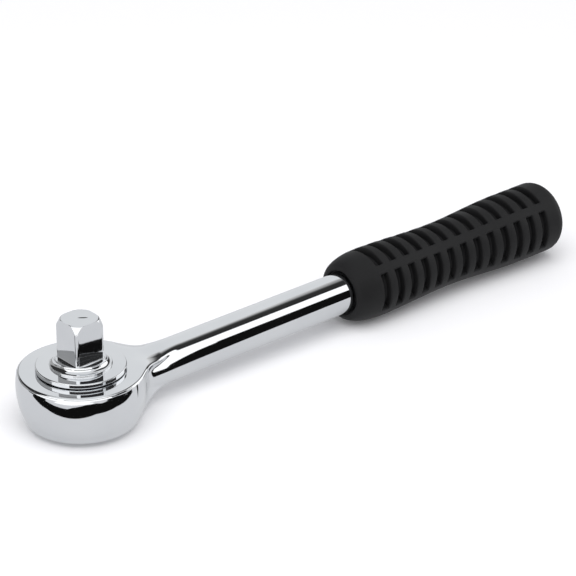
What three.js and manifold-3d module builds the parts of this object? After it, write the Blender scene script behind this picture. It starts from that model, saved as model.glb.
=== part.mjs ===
// Socket ratchet with a 12.7 mm square drive: round forged head, flanged anvil, rocking pawls,
// reversing dial and a slotted rubber grip.
// Millimetres. +Z is the drive axis, +X runs along the handle, and the origin is the centre of the
// reversing dial's outer face.
import * as THREE from 'three';
import { mergeVertices } from 'three/addons/utils/BufferGeometryUtils.js';
import Module from 'manifold-3d';

const wasm = await Module();
wasm.setup();

// Clearances
const RUN_GAP = 0.3;
const FIT_GAP = 0.15;
const CUT_OVERRUN = 1;

// Facets
const HEAD_SEGMENTS = 40;
const GRIP_SEGMENTS = 28;
const SMALL_SEGMENTS = 20;
const TURN = 2 * Math.PI;

// Round head
const HEAD_R = 23.9;
const HEAD_THICK = 20;
const HEAD_WIDEST_ABOVE_BACK = 14.2;
const HEAD_WALL_BULGE_R = 30;
const HEAD_RIM_ROUND = 0.9;
const HEAD_BACK_ROUND = 1.6;
const RECESS_DEPTH = 4.6;
const RECESS_R = 13.6;
const FLOOR_THICK = 2.2;

// Inner tooth ring of the head
const TEETH = 24;
const TOOTH_TIP_R = 14.1;
const TOOTH_DEPTH = 1.4;
const TOOTH_TIP_LAND = THREE.MathUtils.degToRad(2.4);
const TOOTH_ROOT_LAND = THREE.MathUtils.degToRad(3.2);

// Neck and shank
const SHANK_R = 8.05;
const SHANK_AXIS_ABOVE_BACK = 9.7;
const NECK_START_X = 13.5;
const NECK_LENGTH = 30.3;
const NECK_DROP_GAP = 0.4;
const NECK_DROP_LENGTH = 16;
const NECK_OVERLAP = 0.2;
const TANG_LENGTH = 100.4;
const TANG_CHAMFER = 1;

// Grip
const GRIP_MOUTH_X = 125.6;
const GRIP_LENGTH = 111;
const GRIP_LIP_R = 10;
const GRIP_NOSE_LENGTH = 14;
const GRIP_BELLY_R = 14;
const GRIP_WAIST_AT = 51.4;
const GRIP_WAIST_R = 12.85;
const GRIP_FLARE_AT = 90.4;
const GRIP_FLARE_R = 14.5;
const GRIP_END_ROUND = 5;
const GRIP_MOUTH_RECESS_DEPTH = 1.2;
const GRIP_MOUTH_RECESS_R = 9;
const SLOT_COUNT = 13;
const SLOT_FIRST_AT = 12.6;
const SLOT_PITCH = 7.16;
const SLOT_WIDTH = 3.4;
const SLOT_DEPTH = 2.9;
const WEB_WIDTH = 4;

// Anvil: square drive, boss and flange
const SQUARE_SIDE = 12.7;
const SQUARE_LENGTH = 15.6;
const SQUARE_CORNER_ROUND = 0.8;
const TIP_FACE_R = 6.55;
const TIP_EDGE_ROUND = 0.8;
const TIP_CONE_ANGLE = THREE.MathUtils.degToRad(27.5);
const BOSS_HEIGHT = 2.7;
const BOSS_STEP = 0.7;
const BOSS_BASE_R = 11.4;
const BOSS_TOP_R = 9.2;
const FLANGE_R = 16.6;
const FLANGE_THICK = 1.9;
const FLANGE_EDGE_ROUND = 0.4;

// Anvil: rotor and journal
const HUB_GAP = 0.5;
const JOURNAL_R = 8;
const JOURNAL_CHAMFER = 0.4;
const GROOVE_DEPTH = 0.9;
const SPINDLE_R = 4.2;

// Pawls
const PAWL_THICK = 6.4;
const PAWL_PIN_R = 1.4;
const PAWL_PIN_AT = 10.4;
const PAWL_PIN_SOCKET = 1.8;
const PAWL_SWING = THREE.MathUtils.degToRad(9);
const PAWL_TIP_GAP = 0.35;
const PAWL_TIP_LEAN = THREE.MathUtils.degToRad(0.8);
const PAWL_TIP_LAND = THREE.MathUtils.degToRad(1.6);
const PAWL_FLANK_SPREAD = THREE.MathUtils.degToRad(5);
const PAWL_FLANK_DEPTH = 1.25;
const PAWL_HEEL_DEPTH = 1.85;
const PAWL_OUTER_THICK = 2.6;
const PAWL_BACK_THICK = 2.4;
const PAWL_BACK_HALF = 5;
const PAWL_END_HALF = 6;
const PAWL_END_DROP = 1;
const POCKET_FLOOR = 1.4;

// Reverser
const DIAL_PROUD = 1.8;
const DIAL_THICK = 3;
const DIAL_RIM_GAP = 0.4;
const DIAL_RIM_WIDTH = 2.2;
const DIAL_BAR_WIDTH = 7.2;
const DIAL_POCKET_DEPTH = 1.5;
const DIAL_NOTCHES = 24;
const DIAL_NOTCH_R = 0.55;
const DIAL_SOCKET_FLOOR = 1.2;
const TANG_SQUARE = 4.8;
const REVERSER_SWING = THREE.MathUtils.degToRad(15);
const SPINDLE_CROWN = 1.8;
const PLUNGER_R = 1.5;
const PLUNGER_INNER_AT = 2;
const PLUNGER_SPRING = { wireR: 0.25, meanR: 1.05, turns: 3.5 };

// Washers and snap ring
const WASHER_EDGE_GAP = 1.1;
const THRUST_WASHER_THICK = 0.7;
const WAVE_WASHER_THICK = 0.5;
const WAVE_HEIGHT = 0.3;
const WAVE_COUNT = 3;
const RING_THICK = 0.9;
const RING_WIDTH = 2.2;
const RING_MOUTH = THREE.MathUtils.degToRad(44);
const RING_EAR_R = 1.6;
const RING_EAR_HOLE_R = 0.7;

// Socket detent
const BALL_R = 2;
const BALL_PROUD = 0.8;
const BALL_BELOW_TIP = 7.7;
const BALL_HOLE_DEPTH = 8.8;
const BALL_LIP_THICK = 0.35;
const DETENT_SPRING = { wireR: 0.25, meanR: 1.5, turns: 5 };

// Levels along the drive axis
const headBack = DIAL_PROUD;
const headTop = headBack + HEAD_THICK;
const recessTop = headBack + RECESS_DEPTH;
const floorTop = recessTop + FLOOR_THICK;
const thrustWasherZ = floorTop + RUN_GAP;
const hubBottom = thrustWasherZ + THRUST_WASHER_THICK + RUN_GAP;
const pocketBottom = hubBottom + POCKET_FLOOR;
const pocketHeight = PAWL_THICK + 2 * RUN_GAP;
const plungerZ = pocketBottom + pocketHeight / 2;
const flangeBottom = headTop + RUN_GAP;
const flangeTop = flangeBottom + FLANGE_THICK;
const bossTop = flangeTop + BOSS_HEIGHT;
const tipZ = bossTop + SQUARE_LENGTH;
const journalEnd = DIAL_THICK + RUN_GAP;
const waveWasherZ = recessTop - RUN_GAP - WAVE_WASHER_THICK - WAVE_HEIGHT;
const ringZ = waveWasherZ - RUN_GAP - RING_THICK;
const spindleTop = plungerZ + PLUNGER_R + SPINDLE_CROWN;
const shankZ = headBack + SHANK_AXIS_ABOVE_BACK;

// Radii that follow from the fits
const toothRootR = TOOTH_TIP_R + TOOTH_DEPTH;
const hubR = TOOTH_TIP_R - HUB_GAP;
const journalBoreR = JOURNAL_R + RUN_GAP;
const grooveR = JOURNAL_R - GROOVE_DEPTH;
const spindleBoreR = SPINDLE_R + RUN_GAP;
const plungerHoleR = PLUNGER_R + FIT_GAP;
const plungerTipAt = PAWL_PIN_AT - PAWL_BACK_THICK - RUN_GAP;
const gripBoreR = SHANK_R + RUN_GAP;
const dialR = RECESS_R - DIAL_RIM_GAP;
const tangEndX = GRIP_MOUTH_X + TANG_LENGTH;
const gripEndX = GRIP_MOUTH_X + GRIP_LENGTH;
const neckDropX = FLANGE_R + NECK_DROP_GAP;

// Materials
function finish(color, roughness, metalness) {
  return new THREE.MeshStandardMaterial({ color, roughness, metalness });
}
const chrome = () => finish(0xc9cdd2, 0.08, 1);
const steel = () => finish(0x8f9398, 0.35, 1);
const springSteel = () => finish(0x6f747a, 0.3, 1);
const rubber = () => finish(0x17181a, 0.75, 0);

// Turns a closed three.js geometry into a solid, with its faces pointing out
function solid(geometry) {
  const bare = geometry.clone();
  bare.deleteAttribute('normal');
  bare.deleteAttribute('uv');
  const merged = mergeVertices(bare, 1e-4);
  const corner = (i) => new THREE.Vector3().fromBufferAttribute(merged.attributes.position, i);
  const faces = [];
  let volume = 0;
  for (let i = 0; i < merged.index.count; i += 3) {
    const [a, b, c] = [0, 1, 2].map((k) => merged.index.getX(i + k));
    if (a === b || b === c || c === a) continue;
    faces.push([a, b, c]);
    volume += corner(a).dot(corner(b).cross(corner(c)));
  }
  const facingOut = volume > 0 ? faces : faces.map(([a, b, c]) => [a, c, b]);
  return new wasm.Manifold(new wasm.Mesh({
    numProp: 3,
    vertProperties: new Float32Array(merged.attributes.position.array),
    triVerts: new Uint32Array(facingOut.flat()),
  }));
}

function geometryOf(body) {
  const mesh = body.getMesh();
  const geometry = new THREE.BufferGeometry();
  geometry.setAttribute('position', new THREE.BufferAttribute(new Float32Array(mesh.vertProperties), 3));
  geometry.setIndex(new THREE.BufferAttribute(new Uint32Array(mesh.triVerts), 1));
  const flat = geometry.toNonIndexed();
  flat.computeVertexNormals();
  return flat;
}

function namedMesh(name, body, material) {
  const mesh = new THREE.Mesh(geometryOf(body), material);
  mesh.name = name;
  return mesh;
}

const point = (x, y) => new THREE.Vector2(x, y);

function arc(x, y, r, from, to, steps) {
  return Array.from({ length: steps + 1 }, (_, i) => {
    const angle = from + ((to - from) * i) / steps;
    return point(x + r * Math.cos(angle), y + r * Math.sin(angle));
  });
}

// A profile of (radius, height) turned about Z
function turnedZ(profile, segments = HEAD_SEGMENTS) {
  return solid(new THREE.LatheGeometry(profile, segments).rotateX(Math.PI / 2));
}

// A profile of (radius, place along X) turned about X
function turnedX(profile, segments) {
  return solid(new THREE.LatheGeometry(profile, segments).rotateZ(-Math.PI / 2));
}

function rod(r, bottom, top, segments = HEAD_SEGMENTS) {
  return turnedZ([point(0, bottom), point(r, bottom), point(r, top), point(0, top)], segments);
}

function ring(innerR, outerR, bottom, top, segments = HEAD_SEGMENTS) {
  const corners = [point(innerR, bottom), point(outerR, bottom), point(outerR, top), point(innerR, top)];
  return turnedZ([...corners, corners[0]], segments);
}

// An outline in the XY plane raised from bottom to top
function prism(outline, bottom, top) {
  const options = { depth: top - bottom, bevelEnabled: false };
  return solid(new THREE.ExtrudeGeometry(new THREE.Shape(outline), options).translate(0, 0, bottom));
}

function box(low, high) {
  const size = new THREE.Vector3().subVectors(high, low);
  const centre = new THREE.Vector3().addVectors(low, high).multiplyScalar(0.5);
  return solid(new THREE.BoxGeometry(size.x, size.y, size.z).translate(centre.x, centre.y, centre.z));
}

// A skin over rings of equal count, closed by a fan at each end
function loft(rings) {
  const count = rings[0].length;
  const points = rings.flat();
  const faces = [];
  for (let row = 0; row + 1 < rings.length; row += 1) {
    for (let i = 0; i < count; i += 1) {
      const a = row * count + i;
      const b = row * count + ((i + 1) % count);
      faces.push(a, b, b + count, a, b + count, a + count);
    }
  }
  for (const row of [0, rings.length - 1]) {
    const hub = points.length;
    points.push(rings[row].reduce((sum, p) => sum.add(p), new THREE.Vector3()).divideScalar(count));
    for (let i = 0; i < count; i += 1) {
      const edge = [row * count + i, row * count + ((i + 1) % count)];
      faces.push(hub, ...(row ? edge : edge.reverse()));
    }
  }
  const geometry = new THREE.BufferGeometry().setFromPoints(points);
  geometry.setIndex(faces);
  return solid(geometry);
}

// One unbroken helical wire along +Z from the origin; its least gap to itself is measured on points
function spring(name, { wireR, meanR, turns }, length) {
  const stepsPerTurn = 8;
  const sides = 5;
  const steps = turns * stepsPerTurn;
  const rise = (length - 2 * wireR) / TURN / turns;
  const rings = Array.from({ length: steps + 1 }, (_, i) => {
    const angle = (i / stepsPerTurn) * TURN;
    const outward = new THREE.Vector3(Math.cos(angle), Math.sin(angle), 0);
    const along = new THREE.Vector3(-Math.sin(angle) * meanR, Math.cos(angle) * meanR, rise).normalize();
    const across = new THREE.Vector3().crossVectors(along, outward);
    const centre = outward.clone().multiplyScalar(meanR).setZ(wireR + rise * angle);
    return Array.from({ length: sides }, (_, k) => centre.clone()
      .addScaledVector(outward, wireR * Math.cos((k / sides) * TURN))
      .addScaledVector(across, wireR * Math.sin((k / sides) * TURN)));
  });
  let least = Infinity;
  rings.forEach((first, i) => rings.slice(i + stepsPerTurn / 2).forEach((second) => {
    first.forEach((p) => second.forEach((q) => { least = Math.min(least, p.distanceTo(q)); }));
  }));
  console.log(`${name}: least gap between turns ${least.toFixed(2)} mm`);
  return loft(rings);
}

// Outline of the head's wall from its back face to its top face, as (radius, height)
function headWall() {
  const widest = headBack + HEAD_WIDEST_ABOVE_BACK;
  const wallR = (z) => HEAD_R - HEAD_WALL_BULGE_R + Math.sqrt(HEAD_WALL_BULGE_R ** 2 - (z - widest) ** 2);
  const low = headBack + HEAD_BACK_ROUND;
  const high = headTop - HEAD_RIM_ROUND;
  const wallSteps = 5;
  const wall = Array.from({ length: wallSteps - 1 }, (_, i) => {
    const z = low + ((high - low) * (i + 1)) / wallSteps;
    return point(wallR(z), z);
  });
  return [
    ...arc(wallR(low) - HEAD_BACK_ROUND, low, HEAD_BACK_ROUND, -Math.PI / 2, 0, 3),
    ...wall,
    ...arc(wallR(high) - HEAD_RIM_ROUND, high, HEAD_RIM_ROUND, 0, Math.PI / 2, 2),
  ];
}

// Neck and shank: the head's own section at the start of the neck melts into the round shank.
// Each point leaves along the head's surface and arrives along the handle, and the flats drop
// only beyond the anvil's flange.
function neckAndShank(wall) {
  const side = wall.map((p) => point(Math.sqrt(p.x ** 2 - NECK_START_X ** 2), p.y));
  const [back, top] = [side[0], side[side.length - 1]];
  const flatSteps = 6;
  const flat = (edge, sign) => Array.from({ length: flatSteps - 1 }, (_, i) => (
    { y: sign * edge.x * (1 - (2 * (i + 1)) / flatSteps), z: edge.y, half: edge.x }));
  const section = [
    ...side.map((p) => ({ y: p.x, z: p.y, half: p.x })),
    ...flat(top, 1),
    ...side.map((p) => ({ y: -p.x, z: p.y, half: p.x })).reverse(),
    ...flat(back, -1),
  ];
  const widest = Math.max(...side.map((p) => p.x));
  const ringAt = (x) => {
    const s = Math.min((x - NECK_START_X) / NECK_LENGTH, 1);
    const leave = 2 * s ** 3 - 3 * s ** 2 + 1;
    const slide = (s ** 3 - 2 * s ** 2 + s) * NECK_LENGTH;
    const u = THREE.MathUtils.clamp((x - neckDropX) / NECK_DROP_LENGTH, 0, 1);
    const drop = 2 * u ** 3 - 3 * u ** 2 + 1;
    return section.map(({ y, z, half }) => {
      const angle = Math.atan2((z - shankZ) / (HEAD_THICK / 2), y / widest);
      const drift = (-NECK_START_X * y) / half ** 2;
      return new THREE.Vector3(
        x,
        leave * y + slide * drift + (1 - leave) * SHANK_R * Math.cos(angle),
        shankZ + drop * (z - shankZ) + (1 - drop) * SHANK_R * Math.sin(angle),
      );
    });
  };
  const neckSteps = 10;
  const neck = Array.from({ length: neckSteps + 1 },
    (_, i) => ringAt(NECK_START_X + (NECK_LENGTH * i) / neckSteps));
  const tangEnd = ringAt(tangEndX).map((p) => p.set(p.x,
    p.y * (1 - TANG_CHAMFER / SHANK_R), shankZ + (p.z - shankZ) * (1 - TANG_CHAMFER / SHANK_R)));
  return loft([...neck, ringAt(tangEndX - TANG_CHAMFER), tangEnd]);
}

function toothOutline() {
  const pitch = TURN / TEETH;
  const outline = [];
  for (let tooth = 0; tooth < TEETH; tooth += 1) {
    const gapAngle = (tooth + 0.5) * pitch;
    const gapHalf = (pitch - TOOTH_TIP_LAND) / 2;
    const corners = [[TOOTH_TIP_R, -gapHalf], [toothRootR, -TOOTH_ROOT_LAND / 2],
      [toothRootR, TOOTH_ROOT_LAND / 2], [TOOTH_TIP_R, gapHalf]];
    corners.forEach(([r, a]) => outline.push(point(r * Math.cos(gapAngle + a), r * Math.sin(gapAngle + a))));
  }
  return outline;
}

function ratchetBody() {
  const wall = headWall();
  const head = turnedZ([point(0, headBack), ...wall, point(0, headTop)]);
  const reach = HEAD_R + CUT_OVERRUN;
  const neckSide = new THREE.BoxGeometry(reach, 2 * reach, 2 * reach)
    .translate(NECK_START_X + NECK_OVERLAP + reach / 2, 0, shankZ);
  return head.subtract(solid(neckSide)).add(neckAndShank(wall))
    .subtract(prism(toothOutline(), floorTop, headTop + CUT_OVERRUN))
    .subtract(rod(journalBoreR, headBack, headTop))
    .subtract(rod(RECESS_R, headBack - CUT_OVERRUN, recessTop));
}

// Outside radius of the grip at a distance from its mouth
function gripRadius(at) {
  const ease = (from, to, start, end) => {
    const t = THREE.MathUtils.clamp((at - start) / (end - start), 0, 1);
    return from + ((to - from) * (1 - Math.cos(Math.PI * t))) / 2;
  };
  if (at < GRIP_NOSE_LENGTH) {
    const t = 1 - at / GRIP_NOSE_LENGTH;
    return GRIP_LIP_R + (GRIP_BELLY_R - GRIP_LIP_R) * Math.sqrt(1 - t * t);
  }
  if (at < GRIP_WAIST_AT) return ease(GRIP_BELLY_R, GRIP_WAIST_R, GRIP_NOSE_LENGTH, GRIP_WAIST_AT);
  return ease(GRIP_WAIST_R, GRIP_FLARE_R, GRIP_WAIST_AT, GRIP_FLARE_AT);
}

function gripSleeve() {
  const noseSteps = 4;
  const nose = Array.from({ length: noseSteps }, (_, i) => {
    const at = GRIP_NOSE_LENGTH * (1 - Math.cos((Math.PI / 2) * (i / noseSteps)));
    return point(gripRadius(at), GRIP_MOUTH_X + at);
  });
  const lastFlat = GRIP_LENGTH - GRIP_END_ROUND;
  const sideSteps = 9;
  const side = Array.from({ length: sideSteps }, (_, i) => {
    const at = GRIP_NOSE_LENGTH + ((lastFlat - GRIP_NOSE_LENGTH) * i) / sideSteps;
    return point(gripRadius(at), GRIP_MOUTH_X + at);
  });
  const endArc = arc(gripRadius(lastFlat) - GRIP_END_ROUND, gripEndX - GRIP_END_ROUND, GRIP_END_ROUND,
    0, Math.PI / 2, 4);
  const boreEndX = tangEndX + RUN_GAP;
  const mouthFloorX = GRIP_MOUTH_X + GRIP_MOUTH_RECESS_DEPTH;
  const sleeve = turnedX([
    point(0, boreEndX), point(gripBoreR, boreEndX), point(gripBoreR, mouthFloorX),
    point(GRIP_MOUTH_RECESS_R, mouthFloorX), point(GRIP_MOUTH_RECESS_R, GRIP_MOUTH_X),
    ...nose, ...side, ...endArc, point(0, gripEndX),
  ], GRIP_SEGMENTS);

  // Rings of slots, left whole along four straight webs
  let slots = null;
  for (let i = 0; i < SLOT_COUNT; i += 1) {
    const at = SLOT_FIRST_AT + i * SLOT_PITCH;
    const floorR = gripRadius(at) - SLOT_DEPTH;
    const outerR = GRIP_FLARE_R + CUT_OVERRUN;
    const [from, to] = [GRIP_MOUTH_X + at - SLOT_WIDTH / 2, GRIP_MOUTH_X + at + SLOT_WIDTH / 2];
    const corners = [point(floorR, from), point(outerR, from), point(outerR, to), point(floorR, to)];
    const slot = turnedX([...corners, corners[0]], GRIP_SEGMENTS);
    slots = slots ? slots.add(slot) : slot;
  }
  const reach = 2 * (GRIP_FLARE_R + CUT_OVERRUN);
  for (const lean of [Math.PI / 4, -Math.PI / 4]) {
    const web = new THREE.BoxGeometry(GRIP_LENGTH, WEB_WIDTH, 2 * reach).rotateX(lean);
    slots = slots.subtract(solid(web.translate(GRIP_MOUTH_X + GRIP_LENGTH / 2, 0, 0)));
  }
  return sleeve.subtract(slots);
}

function squareDrive() {
  const flat = SQUARE_SIDE / 2;
  const inner = flat - SQUARE_CORNER_ROUND;
  const outline = [0, 1, 2, 3].flatMap((quarter) => {
    const angle = (quarter * Math.PI) / 2;
    const [sx, sy] = [[1, 1], [-1, 1], [-1, -1], [1, -1]][quarter];
    return arc(sx * inner, sy * inner, SQUARE_CORNER_ROUND, angle, angle + Math.PI / 2, 2);
  });
  const edge = arc(TIP_FACE_R, tipZ - TIP_EDGE_ROUND, TIP_EDGE_ROUND, TIP_CONE_ANGLE, Math.PI / 2, 3);
  const coneFootR = edge[0].x + (edge[0].y - flangeTop) * Math.tan(TIP_CONE_ANGLE);
  const cone = turnedZ([point(0, flangeTop), point(coneFootR, flangeTop), ...edge, point(0, tipZ)]);
  return prism(outline, flangeTop, tipZ).intersect(cone);
}

// Pocket, plunger window and pin hole of the pawl on the +Y side of the rotor
function pawlRoom() {
  const backSwing = PAWL_BACK_HALF * Math.sin(PAWL_SWING) + PAWL_BACK_THICK * Math.cos(PAWL_SWING);
  const backWall = PAWL_PIN_AT - backSwing - RUN_GAP;
  const tipReach = Math.hypot(...pawlTip(PAWL_TIP_LAND / 2).toArray());
  const halfWidth = tipReach + RUN_GAP;
  const pocket = box(new THREE.Vector3(-halfWidth, backWall, pocketBottom),
    new THREE.Vector3(halfWidth, hubR + CUT_OVERRUN, pocketBottom + pocketHeight));
  const sweep = backWall * Math.sin(REVERSER_SWING) + PLUNGER_R + RUN_GAP;
  const windowHalf = PLUNGER_R + RUN_GAP;
  const window = box(new THREE.Vector3(-sweep, SPINDLE_R / 2, plungerZ - windowHalf),
    new THREE.Vector3(sweep, backWall + CUT_OVERRUN, plungerZ + windowHalf));
  const pinTop = pocketBottom + pocketHeight + PAWL_PIN_SOCKET + RUN_GAP;
  const pinHole = rod(PAWL_PIN_R + FIT_GAP, hubBottom - CUT_OVERRUN, pinTop, SMALL_SEGMENTS);
  return pocket.add(window).add(pinHole.translate([0, PAWL_PIN_AT, 0]));
}

// Level of the detent ball, and the stepped hole that holds it, drilled in from the +X flat
const ballZ = tipZ - BALL_BELOW_TIP;
const ballX = SQUARE_SIDE / 2 + BALL_PROUD - BALL_R;
const ballHoleEndX = SQUARE_SIDE / 2 - BALL_HOLE_DEPTH;

function ballHole() {
  const lipX = SQUARE_SIDE / 2 - BALL_LIP_THICK;
  const lipR = Math.sqrt(BALL_R ** 2 - (lipX - ballX) ** 2) + FIT_GAP / 2;
  const boreR = BALL_R + FIT_GAP;
  const outX = SQUARE_SIDE / 2 + CUT_OVERRUN;
  return turnedX([point(0, ballHoleEndX), point(boreR, ballHoleEndX), point(boreR, lipX),
    point(lipR, lipX), point(lipR, outX), point(0, outX)], SMALL_SEGMENTS).translate([0, 0, ballZ]);
}

function driveAnvil() {
  const grooveLow = ringZ - FIT_GAP;
  const grooveHigh = ringZ + RING_THICK + FIT_GAP;
  const edge = FLANGE_EDGE_ROUND;
  const bossSlopeHeight = BOSS_HEIGHT - BOSS_STEP;
  const bossSlopeWidth = BOSS_BASE_R - BOSS_TOP_R;
  const bossCurve = arc(0, 0, 1, -Math.PI / 2, -Math.PI, 3)
    .map((p) => point(BOSS_BASE_R + bossSlopeWidth * p.x, bossTop + bossSlopeHeight * p.y));
  const turned = turnedZ([
    point(0, journalEnd), point(JOURNAL_R - JOURNAL_CHAMFER, journalEnd),
    point(JOURNAL_R, journalEnd + JOURNAL_CHAMFER), point(JOURNAL_R, grooveLow), point(grooveR, grooveLow),
    point(grooveR, grooveHigh), point(JOURNAL_R, grooveHigh), point(JOURNAL_R, hubBottom),
    point(hubR, hubBottom), point(hubR, flangeBottom),
    ...arc(FLANGE_R - edge, flangeBottom + edge, edge, -Math.PI / 2, 0, 2),
    ...arc(FLANGE_R - edge, flangeTop - edge, edge, 0, Math.PI / 2, 2),
    point(BOSS_BASE_R, flangeTop), ...bossCurve, point(0, bossTop),
  ]);
  const room = pawlRoom();
  return turned.add(squareDrive())
    .subtract(rod(spindleBoreR, journalEnd - CUT_OVERRUN, spindleTop + RUN_GAP, SMALL_SEGMENTS))
    .subtract(room)
    .subtract(room.rotate([0, 0, 180]))
    .subtract(ballHole());
}

// A point of the pawl's engaged tooth, seen from the pin with the pawl rocked back to its middle.
// offset is the angle from the tooth's own middle, depth the distance below its tip.
function pawlTip(offset, depth = 0) {
  const r = toothRootR - PAWL_TIP_GAP - depth;
  const angle = (1.5 * TURN) / TEETH - PAWL_TIP_LEAN + offset;
  return point(r * Math.sin(angle), r * Math.cos(angle) - PAWL_PIN_AT)
    .rotateAround(point(0, 0), -PAWL_SWING);
}

// Pawl about its pin: X across the rotor, Y outward, teeth at both ends
function pawl() {
  const half = PAWL_TIP_LAND / 2;
  const right = [
    point(PAWL_BACK_HALF, -PAWL_BACK_THICK),
    point(PAWL_END_HALF, -PAWL_END_DROP),
    pawlTip(PAWL_FLANK_SPREAD, PAWL_HEEL_DEPTH),
    pawlTip(half),
    pawlTip(-half),
    pawlTip(-PAWL_FLANK_SPREAD, PAWL_FLANK_DEPTH),
  ];
  const left = right.map((p) => point(-p.x, p.y)).reverse();
  const outline = [...right, point(0, PAWL_OUTER_THICK), ...left];
  const hole = rod(PAWL_PIN_R + RUN_GAP, -CUT_OVERRUN, PAWL_THICK + CUT_OVERRUN, SMALL_SEGMENTS);
  return prism(outline, 0, PAWL_THICK).subtract(hole);
}

function pawlPin() {
  const bottom = hubBottom + FIT_GAP;
  const top = pocketBottom + pocketHeight + PAWL_PIN_SOCKET;
  const edge = PAWL_PIN_R / 5;
  return turnedZ([point(0, bottom), point(PAWL_PIN_R - edge, bottom), point(PAWL_PIN_R, bottom + edge),
    point(PAWL_PIN_R, top - edge), point(PAWL_PIN_R - edge, top), point(0, top)], SMALL_SEGMENTS);
}

// Plunger along +Y from the spindle's axis, with a domed tip
function plunger() {
  const domeAt = plungerTipAt - PLUNGER_R;
  const profile = [point(0, PLUNGER_INNER_AT), point(PLUNGER_R, PLUNGER_INNER_AT),
    ...arc(0, domeAt, PLUNGER_R, 0, Math.PI / 2, 5)];
  profile[profile.length - 1].setX(0);
  return solid(new THREE.LatheGeometry(profile, SMALL_SEGMENTS)).translate([0, 0, plungerZ]);
}

function reversingSpindle() {
  const tang = TANG_SQUARE / 2;
  const shaft = rod(SPINDLE_R, journalEnd - RUN_GAP + FIT_GAP, spindleTop, SMALL_SEGMENTS);
  const foot = box(new THREE.Vector3(-tang, -tang, DIAL_SOCKET_FLOOR + FIT_GAP),
    new THREE.Vector3(tang, tang, journalEnd));
  const crossHole = turnedX([point(0, -2 * SPINDLE_R), point(plungerHoleR, -2 * SPINDLE_R),
    point(plungerHoleR, 2 * SPINDLE_R), point(0, 2 * SPINDLE_R)], SMALL_SEGMENTS);
  return shaft.add(foot).subtract(crossHole.rotate([0, 0, 90]).translate([0, 0, plungerZ]));
}

// Round dial with a notched rim and two half-moon finger pockets beside a straight thumb bar
function reversingDial() {
  let dial = rod(dialR, 0, DIAL_THICK);
  const pocketR = dialR - DIAL_RIM_WIDTH;
  const bar = DIAL_BAR_WIDTH / 2;
  const start = Math.asin(bar / pocketR);
  const halfMoon = arc(0, 0, pocketR, start, Math.PI - start, 10);
  const pocket = prism(halfMoon, -CUT_OVERRUN, DIAL_POCKET_DEPTH);
  const notch = rod(DIAL_NOTCH_R, -CUT_OVERRUN, DIAL_PROUD, 8);
  for (let i = 0; i < DIAL_NOTCHES; i += 1) {
    const angle = (i * TURN) / DIAL_NOTCHES;
    dial = dial.subtract(notch.translate([dialR * Math.cos(angle), dialR * Math.sin(angle), 0]));
  }
  const socket = TANG_SQUARE / 2 + FIT_GAP;
  return dial.subtract(pocket).subtract(pocket.rotate([0, 0, 180]))
    .subtract(box(new THREE.Vector3(-socket, -socket, DIAL_SOCKET_FLOOR),
      new THREE.Vector3(socket, socket, DIAL_THICK + CUT_OVERRUN)));
}

// Open snap ring with an ear and a plier hole at each end
function retainingRing() {
  const innerR = grooveR + FIT_GAP;
  const outerR = innerR + RING_WIDTH;
  const half = RING_MOUTH / 2;
  const outline = [...arc(0, 0, outerR, half, TURN - half, 32), ...arc(0, 0, innerR, TURN - half, half, 32)];
  let body = prism(outline, ringZ, ringZ + RING_THICK);
  const earAt = innerR + RING_EAR_R + FIT_GAP;
  for (const angle of [half, -half]) {
    const place = [earAt * Math.cos(angle), earAt * Math.sin(angle), 0];
    const ear = rod(RING_EAR_R, ringZ, ringZ + RING_THICK, 14).translate(place);
    const hole = rod(RING_EAR_HOLE_R, ringZ - CUT_OVERRUN, ringZ + RING_THICK + CUT_OVERRUN, 10);
    body = body.add(ear).subtract(hole.translate(place));
  }
  return body;
}

function waveWasher() {
  const [innerR, outerR] = [journalBoreR, RECESS_R - WASHER_EDGE_GAP];
  const steps = 36;
  const points = [];
  const faces = [];
  for (let i = 0; i < steps; i += 1) {
    const angle = (i / steps) * TURN;
    const low = waveWasherZ + (WAVE_HEIGHT * (1 + Math.cos(WAVE_COUNT * angle))) / 2;
    const high = low + WAVE_WASHER_THICK;
    for (const [r, z] of [[innerR, low], [outerR, low], [outerR, high], [innerR, high]]) {
      points.push(new THREE.Vector3(r * Math.cos(angle), r * Math.sin(angle), z));
    }
    for (let k = 0; k < 4; k += 1) {
      const [a, b] = [4 * i + k, 4 * i + ((k + 1) % 4)];
      const [c, d] = [a, b].map((corner) => (corner + 4) % (4 * steps));
      faces.push(a, b, d, a, d, c);
    }
  }
  const geometry = new THREE.BufferGeometry().setFromPoints(points);
  geometry.setIndex(faces);
  return solid(geometry);
}

// Assembly
const ratchet = new THREE.Group();
ratchet.add(namedMesh('ratchet_body', ratchetBody(), chrome()));

const handle = new THREE.Group();
handle.position.z = shankZ;
handle.add(namedMesh('grip_sleeve', gripSleeve(), rubber()));
ratchet.add(handle);

ratchet.add(namedMesh('drive_anvil', driveAnvil(), chrome()));
ratchet.add(namedMesh('thrust_washer', ring(journalBoreR, TOOTH_TIP_R - WASHER_EDGE_GAP,
  thrustWasherZ, thrustWasherZ + THRUST_WASHER_THICK), steel()));
ratchet.add(namedMesh('wave_washer', waveWasher(), springSteel()));
ratchet.add(namedMesh('retaining_ring', retainingRing(), springSteel()));

const ball = namedMesh('drive_detent_ball', solid(new THREE.SphereGeometry(BALL_R, 16, 12)), steel());
ball.position.set(ballX, 0, ballZ);
ratchet.add(ball);

const detentSpringLength = ballX - BALL_R - ballHoleEndX - 2 * FIT_GAP;
const detentSpring = namedMesh('drive_detent_spring',
  spring('drive_detent_spring', DETENT_SPRING, detentSpringLength), springSteel());
detentSpring.rotation.y = Math.PI / 2;
detentSpring.position.set(ballHoleEndX + FIT_GAP, 0, ballZ);
ratchet.add(detentSpring);

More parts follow.
